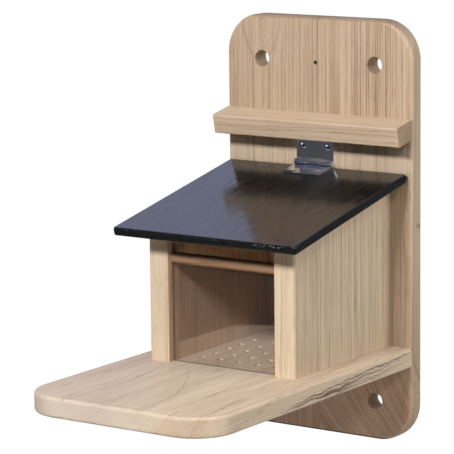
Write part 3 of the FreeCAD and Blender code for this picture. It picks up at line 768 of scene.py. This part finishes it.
# %% A finished piece
def bake(bm, name, material, *modifiers):
    """Bake a bmesh and its modifiers into one object."""
    mesh = bpy.data.meshes.new(name)
    bm.to_mesh(mesh)
    bm.free()
    piece = bpy.data.objects.new(name, mesh)
    bpy.context.scene.collection.objects.link(piece)
    for kind, settings in modifiers:
        modifier = piece.modifiers.new(kind.lower(), kind)
        for key, value in settings.items():
            setattr(modifier, key, value)
    baked = bpy.data.meshes.new_from_object(
        piece.evaluated_get(bpy.context.evaluated_depsgraph_get()))
    piece.modifiers.clear()
    piece.data = baked
    baked.materials.clear()
    baked.materials.append(material)
    return piece


def finish_piece(piece, body, node, sharp):
    """Shade a piece smooth up to the sharp angle, and put it in its node's place."""
    for face in piece.data.polygons:
        face.use_smooth = True
    piece.data.set_sharp_from_angle(angle=math.radians(sharp))
    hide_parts(node)
    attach(piece, body)
    print(piece.name, "has", len(piece.data.polygons), "faces")


# %% [markdown]
# ## One leaf
# The leaf starts as its tip's edge, split where the slits are. The whole edge is drawn
# in to the cut; only the tongues' strips go on to the neck and round the pin. It's a
# bare surface so far, and gets the sheet's thickness from a modifier.

# %% Rows of edges
def extrude_row(bm, edges, centre):
    """Draw a row of edges out until it is level with the centre; gives the new row."""
    geometry = bmesh.ops.extrude_edge_only(bm, edges=edges)["geom"]
    verts = [g for g in geometry if isinstance(g, bmesh.types.BMVert)]
    for v in verts:
        v.co.y, v.co.z = centre.y, centre.z
    return [g for g in geometry if isinstance(g, bmesh.types.BMEdge)
            and abs(g.verts[0].co.x - g.verts[1].co.x) > NEAR
            and all(v in verts for v in g.verts)]


def within(edge, strips):
    """Whether an edge lies inside one of the strips, given as pairs of x."""
    xs = [v.co.x for v in edge.verts]
    return any(low - NEAR < min(xs) and max(xs) < high + NEAR for low, high in strips)


# %% One leaf
def leaf(along, off, turn, curl, tongues):
    """A sheet that lies off to one side of the pin, with some of its strips rolled."""
    bm = bmesh.new()
    tip = from_pin(along, REACH, off, LEAF_OFF)
    row = [bm.verts.new((x, tip.y, tip.z)) for x in LEAF_XS]
    edges = [bm.edges.new(pair) for pair in zip(row, row[1:])]
    edges = extrude_row(bm, edges, from_pin(along, CUT_BACK, off, LEAF_OFF))
    edges = [edge for edge in edges if within(edge, tongues)]
    edges = extrude_row(bm, edges, from_pin(along, NECK_REACH, off, NECK_OFF))
    edges = extrude_row(bm, edges, from_pin(along, 0.0, off, CURL))
    verts = list(dict.fromkeys(v for edge in edges for v in edge.verts))
    bmesh.ops.spin(bm, geom=verts + edges, cent=PIN, axis=X_AXIS, dvec=(0, 0, 0),
                   angle=turn * math.radians(curl), steps=22, use_duplicate=False)
    bmesh.ops.remove_doubles(bm, verts=bm.verts, dist=NEAR)
    bmesh.ops.recalc_face_normals(bm, faces=bm.faces)
    return bm


# %% [markdown]
# ## Holes and edges
# A press punches the holes through the flat sheet. Here two plain cylinders cut them
# once the sheet has its thickness, and a small bevel then takes off every sharp edge,
# so that each one catches a line of light.

# %% Holes and edges
def drill(along, off):
    """The cutter for both screw holes of a leaf."""
    bm = bmesh.new()
    for x in SCREW_XS:
        verts = bmesh.ops.create_cone(bm, cap_ends=True, segments=32, radius1=HOLE_RADIUS,
                                      radius2=HOLE_RADIUS, depth=HOLE_DEPTH)["verts"]
        bmesh.ops.rotate(bm, verts=verts, matrix=Vector(off).to_track_quat("Z", "Y").to_matrix())
        bmesh.ops.translate(bm, verts=verts,
                            vec=from_pin(along, SCREW_AT, off, LEAF_OFF) + X_AXIS * x)
    return bake(bm, "hole cutter", ZINC)


def hinge_leaf(name, body, along, off, turn, curl, tongues):
    """One leaf: rolled, given its thickness, drilled, and its edges broken."""
    cutter = drill(along, off)
    piece = bake(
        leaf(along, off, turn, curl, tongues), name + "_rolled", ZINC,
        ("SOLIDIFY", {"thickness": THICK, "offset": 0.0, "use_even_offset": True}),
        ("BOOLEAN", {"object": cutter, "operation": "DIFFERENCE", "solver": "EXACT"}),
        ("BEVEL", {"width": 0.12 * MM, "segments": 2, "limit_method": "ANGLE",
                   "angle_limit": math.radians(50), "harden_normals": False}))
    bpy.data.objects.remove(cutter)
    finish_piece(piece, body, name, 20)


# %% [markdown]
# ## Countersunk screws
# A screw is turned in a lathe, so it is spun from one half profile: the pit of the
# recess, the dished head, its rim, the cone under the head and the shank. The pit's
# two innermost points carry the layer where the material paints shade.

# %% Screws
SCREW_PROFILE = [   # radius and height above the leaf's face, from the pit to the point
    (0.0, -3.0), (0.9, -2.8), (1.05, -1.15), (1.6, -0.73), (2.2, -0.3), (2.45, -0.12),
    (2.58, -0.2), (2.5, -0.4), (1.6, -1.5), (1.6, -6.0), (0.0, -8.0)]
LEAF_FACE = LEAF_OFF - THICK / 2   # how far the leaf's outer face lies from the pin


def screws(name, body, along, off):
    """The two screws of one leaf, as one piece."""
    bm = bmesh.new()
    out = -Vector(off)
    recess = bm.verts.layers.float.new("recess")
    for x in SCREW_XS:
        head = from_pin(along, SCREW_AT, off, LEAF_FACE) + X_AXIS * x
        row = [bm.verts.new(head + out * high * MM + X_AXIS * wide * MM)
               for wide, high in SCREW_PROFILE]
        # these points mark where the painted shade of the recess goes
        row[0][recess] = row[1][recess] = 1.0
        edges = [bm.edges.new(pair) for pair in zip(row, row[1:])]
        bmesh.ops.spin(bm, geom=row + edges, cent=head, axis=out, dvec=(0, 0, 0),
                       angle=2 * math.pi, steps=24, use_merge=True, use_duplicate=False)
    bmesh.ops.remove_doubles(bm, verts=bm.verts, dist=NEAR)
    bmesh.ops.recalc_face_normals(bm, faces=bm.faces)
    finish_piece(bake(bm, name + "_turned", SCREW), body, name, 25)


# %% [markdown]
# ## The hinge, put together
# The wall leaf has the two outer tongues and the lid's leaf the middle one, so they
# share the pin without touching. Each leaf lies off to its board's side of the pin and
# curls round it the other way from its partner.

# %% Both leaves and their screws
UP, BACK = (0.0, 0.0, 1.0), (0.0, 1.0, 0.0)
DOWN_LID, UNDER = down_slope((0.0, -1.0, 0.0)), down_slope((0.0, 0.0, -1.0))
OUTER, INNER = [LEAF_XS[0:2], LEAF_XS[4:6]], [LEAF_XS[2:4]]
hinge_leaf("hinge_leaf_wall", "station", UP, BACK, -1, 262, OUTER)
hinge_leaf("hinge_leaf_lid", "lid", DOWN_LID, UNDER, 1, 275, INNER)
screws("hinge_screws_wall", "station", UP, BACK)
screws("hinge_screws_lid", "lid", DOWN_LID, UNDER)

# %% [markdown]
# ## Camera
# The camera stands well back with a long lens, so the boards' edges stay nearly
# parallel. Its place is worked out from a bearing and a height, like a tripod walked
# round the station.

# %% Camera
AZIMUTH, ELEVATION, ROLL = math.radians(34.72), math.radians(9.87), math.radians(-0.66)
TARGET, DISTANCE = Vector((-61.31, -78.0, 5.48)) * MM, 2401.2 * MM
SENSOR, FOCAL_PIXELS, FRAME_PIXELS = 36.0, 2613.01, 454


def outward(azimuth, elevation):
    """The direction from the station to a thing seen at this bearing and height."""
    return Vector((math.sin(azimuth) * math.cos(elevation),
                   -math.cos(azimuth) * math.cos(elevation), math.sin(elevation)))


back = outward(AZIMUTH, ELEVATION)
right = Vector((math.cos(AZIMUTH), math.sin(AZIMUTH), 0.0))
up = back.cross(right)
right, up = (math.cos(ROLL) * right + math.sin(ROLL) * up,
             math.cos(ROLL) * up - math.sin(ROLL) * right)
turn = Matrix((right, up, back)).transposed().to_4x4()
camera_data = bpy.data.cameras.new("camera")
camera_data.sensor_fit = "HORIZONTAL"
camera_data.sensor_width = SENSOR
camera_data.lens = FOCAL_PIXELS / FRAME_PIXELS * SENSOR
camera_data.clip_end = 50.0
camera = bpy.data.objects.new("camera", camera_data)
bpy.context.scene.collection.objects.link(camera)
camera.matrix_world = Matrix.Translation(TARGET + back * DISTANCE) @ turn
bpy.context.scene.camera = camera
print("lens", round(camera_data.lens), "mm,", round(DISTANCE, 2), "m away")

# %% [markdown]
# ## Lamps
# A product studio lights a wooden thing with one strong box in front and above, so that
# the ledge and the lid throw a clear shadow, and fills the rest weakly. A lamp's power is
# easier to judge as the share of full white that it lays on a card facing it, so the
# helper takes that number and works out the watts.

# %% Lamps
LAMP_TARGET = Vector((0.0, -0.12, 0.0))


def softbox(name, azimuth, elevation, size, level, distance=2.2):
    """A flat lamp aimed at the station; its level is the share of white it gives a card."""
    off = outward(math.radians(azimuth), math.radians(elevation))
    data = bpy.data.lights.new(name, "AREA")
    data.shape = "RECTANGLE"
    data.size, data.size_y = size
    data.energy = level * (math.pi * distance) ** 2
    lamp = bpy.data.objects.new(name, data)
    bpy.context.scene.collection.objects.link(lamp)
    lamp.location = LAMP_TARGET + off * distance
    lamp.rotation_euler = off.to_track_quat("Z", "Y").to_euler()
    print(name, "level", level)
    return lamp


# name, bearing and height in degrees, size in metres, level
softbox("key softbox", 3, 33.5, (0.55, 0.3), 0.98)
softbox("right front softbox", 40, 27, (0.32, 0.32), 0.19)
softbox("right softbox", 105, 8, (1.0, 1.0), 0.4)
softbox("overhead softbox", 20, 80, (1.2, 1.2), 0.2)
for name, azimuth, elevation, level in (
        ("low bounce card", 25, -35, 0.12),
        ("left fill", -97, -3, 0.32),
        ("back fill", 184, -3, 0.5)):
    softbox(name, azimuth, elevation, (1.2, 1.2), level).visible_glossy = False

# %% [markdown]
# ## The room
# The eye sees plain white all round. Gloss sees the studio as it is: a bright wall
# behind and above that dims to the right, a bright strip at the far left, and a dark
# room in front, which is what gives black paint its dark edges. Light that has bounced
# off a matt surface sees neither, only a faint even glow.

# %% World
PLAIN_WHITE, ROOM_TINT = (1.0, 1.0, 1.0, 1.0), (0.72, 0.76, 1.08, 1.0)
DARK_ROOM, GLOW_FOR_MATT = 0.1, 0.05
# Directions along z, y, x and x again, where each part of the wall starts and is full.
ABOVE, BEHIND, NOT_RIGHT, FAR_LEFT = (0.0, 0.5), (-0.3, 0.25), (0.12, -0.12), (-0.72, -0.86)


def sees(tree):
    """Two masks: the eye or clear glass looking straight out, and a gloss looking out."""
    path = add(tree, "ShaderNodeLightPath").outputs
    first = maths(tree, "LESS_THAN", path["Diffuse Depth"], 0.5)
    gloss = times(tree, first, path["Is Glossy Ray"])
    no_gloss_yet = maths(tree, "LESS_THAN", path["Glossy Depth"], 0.5)
    clear = times(tree, first, no_gloss_yet, path["Is Transmission Ray"])
    return maths(tree, "MAXIMUM", path["Is Camera Ray"], clear), gloss


world = bpy.data.worlds.new("studio")
bpy.context.scene.world = world
world.use_nodes = True
tree = world.node_tree
ambient = tree.nodes["Background"]
look_x, look_y, look_z = axes(tree, where(tree, "Generated"))
wall = times(tree, band(tree, look_z, *ABOVE, smooth=True),
             band(tree, look_y, *BEHIND, smooth=True),
             remap(tree, look_x, *NOT_RIGHT, 0.2, 1.0, True))
wall = maths(tree, "MAXIMUM", wall, band(tree, look_x, *FAR_LEFT, smooth=True))
wall = remap(tree, wall, 0.0, 1.0, DARK_ROOM, 1.0)
direct, gloss = sees(tree)
level = multiple_plus(tree, gloss, minus(tree, wall, GLOW_FOR_MATT), GLOW_FOR_MATT)
fill(tree, ambient, Color=blend_colour(tree, gloss, PLAIN_WHITE, ROOM_TINT),
     Strength=maths(tree, "MAXIMUM", direct, level))
print("the room has", len(tree.nodes), "nodes")

# %% [markdown]
# ## The floor
# The station hangs on a wall, so the floor lies well below it. It glows as white as the
# room for the eye and only faintly for gloss, so that no horizon shows; the small share
# that doesn't glow keeps the station's shadow.

# %% Floor
FLOOR_Z, FLOOR_SIZE, WHITE, GLOW_SHARE = -1.1, 80.0, 1.08, 0.94
FRONT_TO_BACK, GLOSS_LEVELS = (-1.0, 2.0), (0.07, 0.15)   # for gloss, brighter at the back
bpy.ops.mesh.primitive_plane_add(size=FLOOR_SIZE, location=(0.0, 0.0, FLOOR_Z))
floor = bpy.context.object
floor.name = "floor"
material, tree, shader = new_material("pale floor")
fill(tree, shader, Base_Color=rgb(222, 222, 222), Roughness=0.9, Specular_IOR_Level=0.0)
direct, gloss = sees(tree)
_, y, _ = axes(tree, where(tree))
far = remap(tree, y, *FRONT_TO_BACK, *GLOSS_LEVELS, True)
glow = add(tree, "ShaderNodeEmission", Strength=maths(
    tree, "MAXIMUM", times(tree, direct, WHITE), times(tree, gloss, far)))
mix_shaders(tree, times(tree, maths(tree, "MAXIMUM", direct, gloss), GLOW_SHARE), shader, glow)
floor.data.materials.append(material)

bpy.context.scene.view_settings.view_transform = "Standard"
print("the floor lies", -FLOOR_Z, "m below the station's middle")
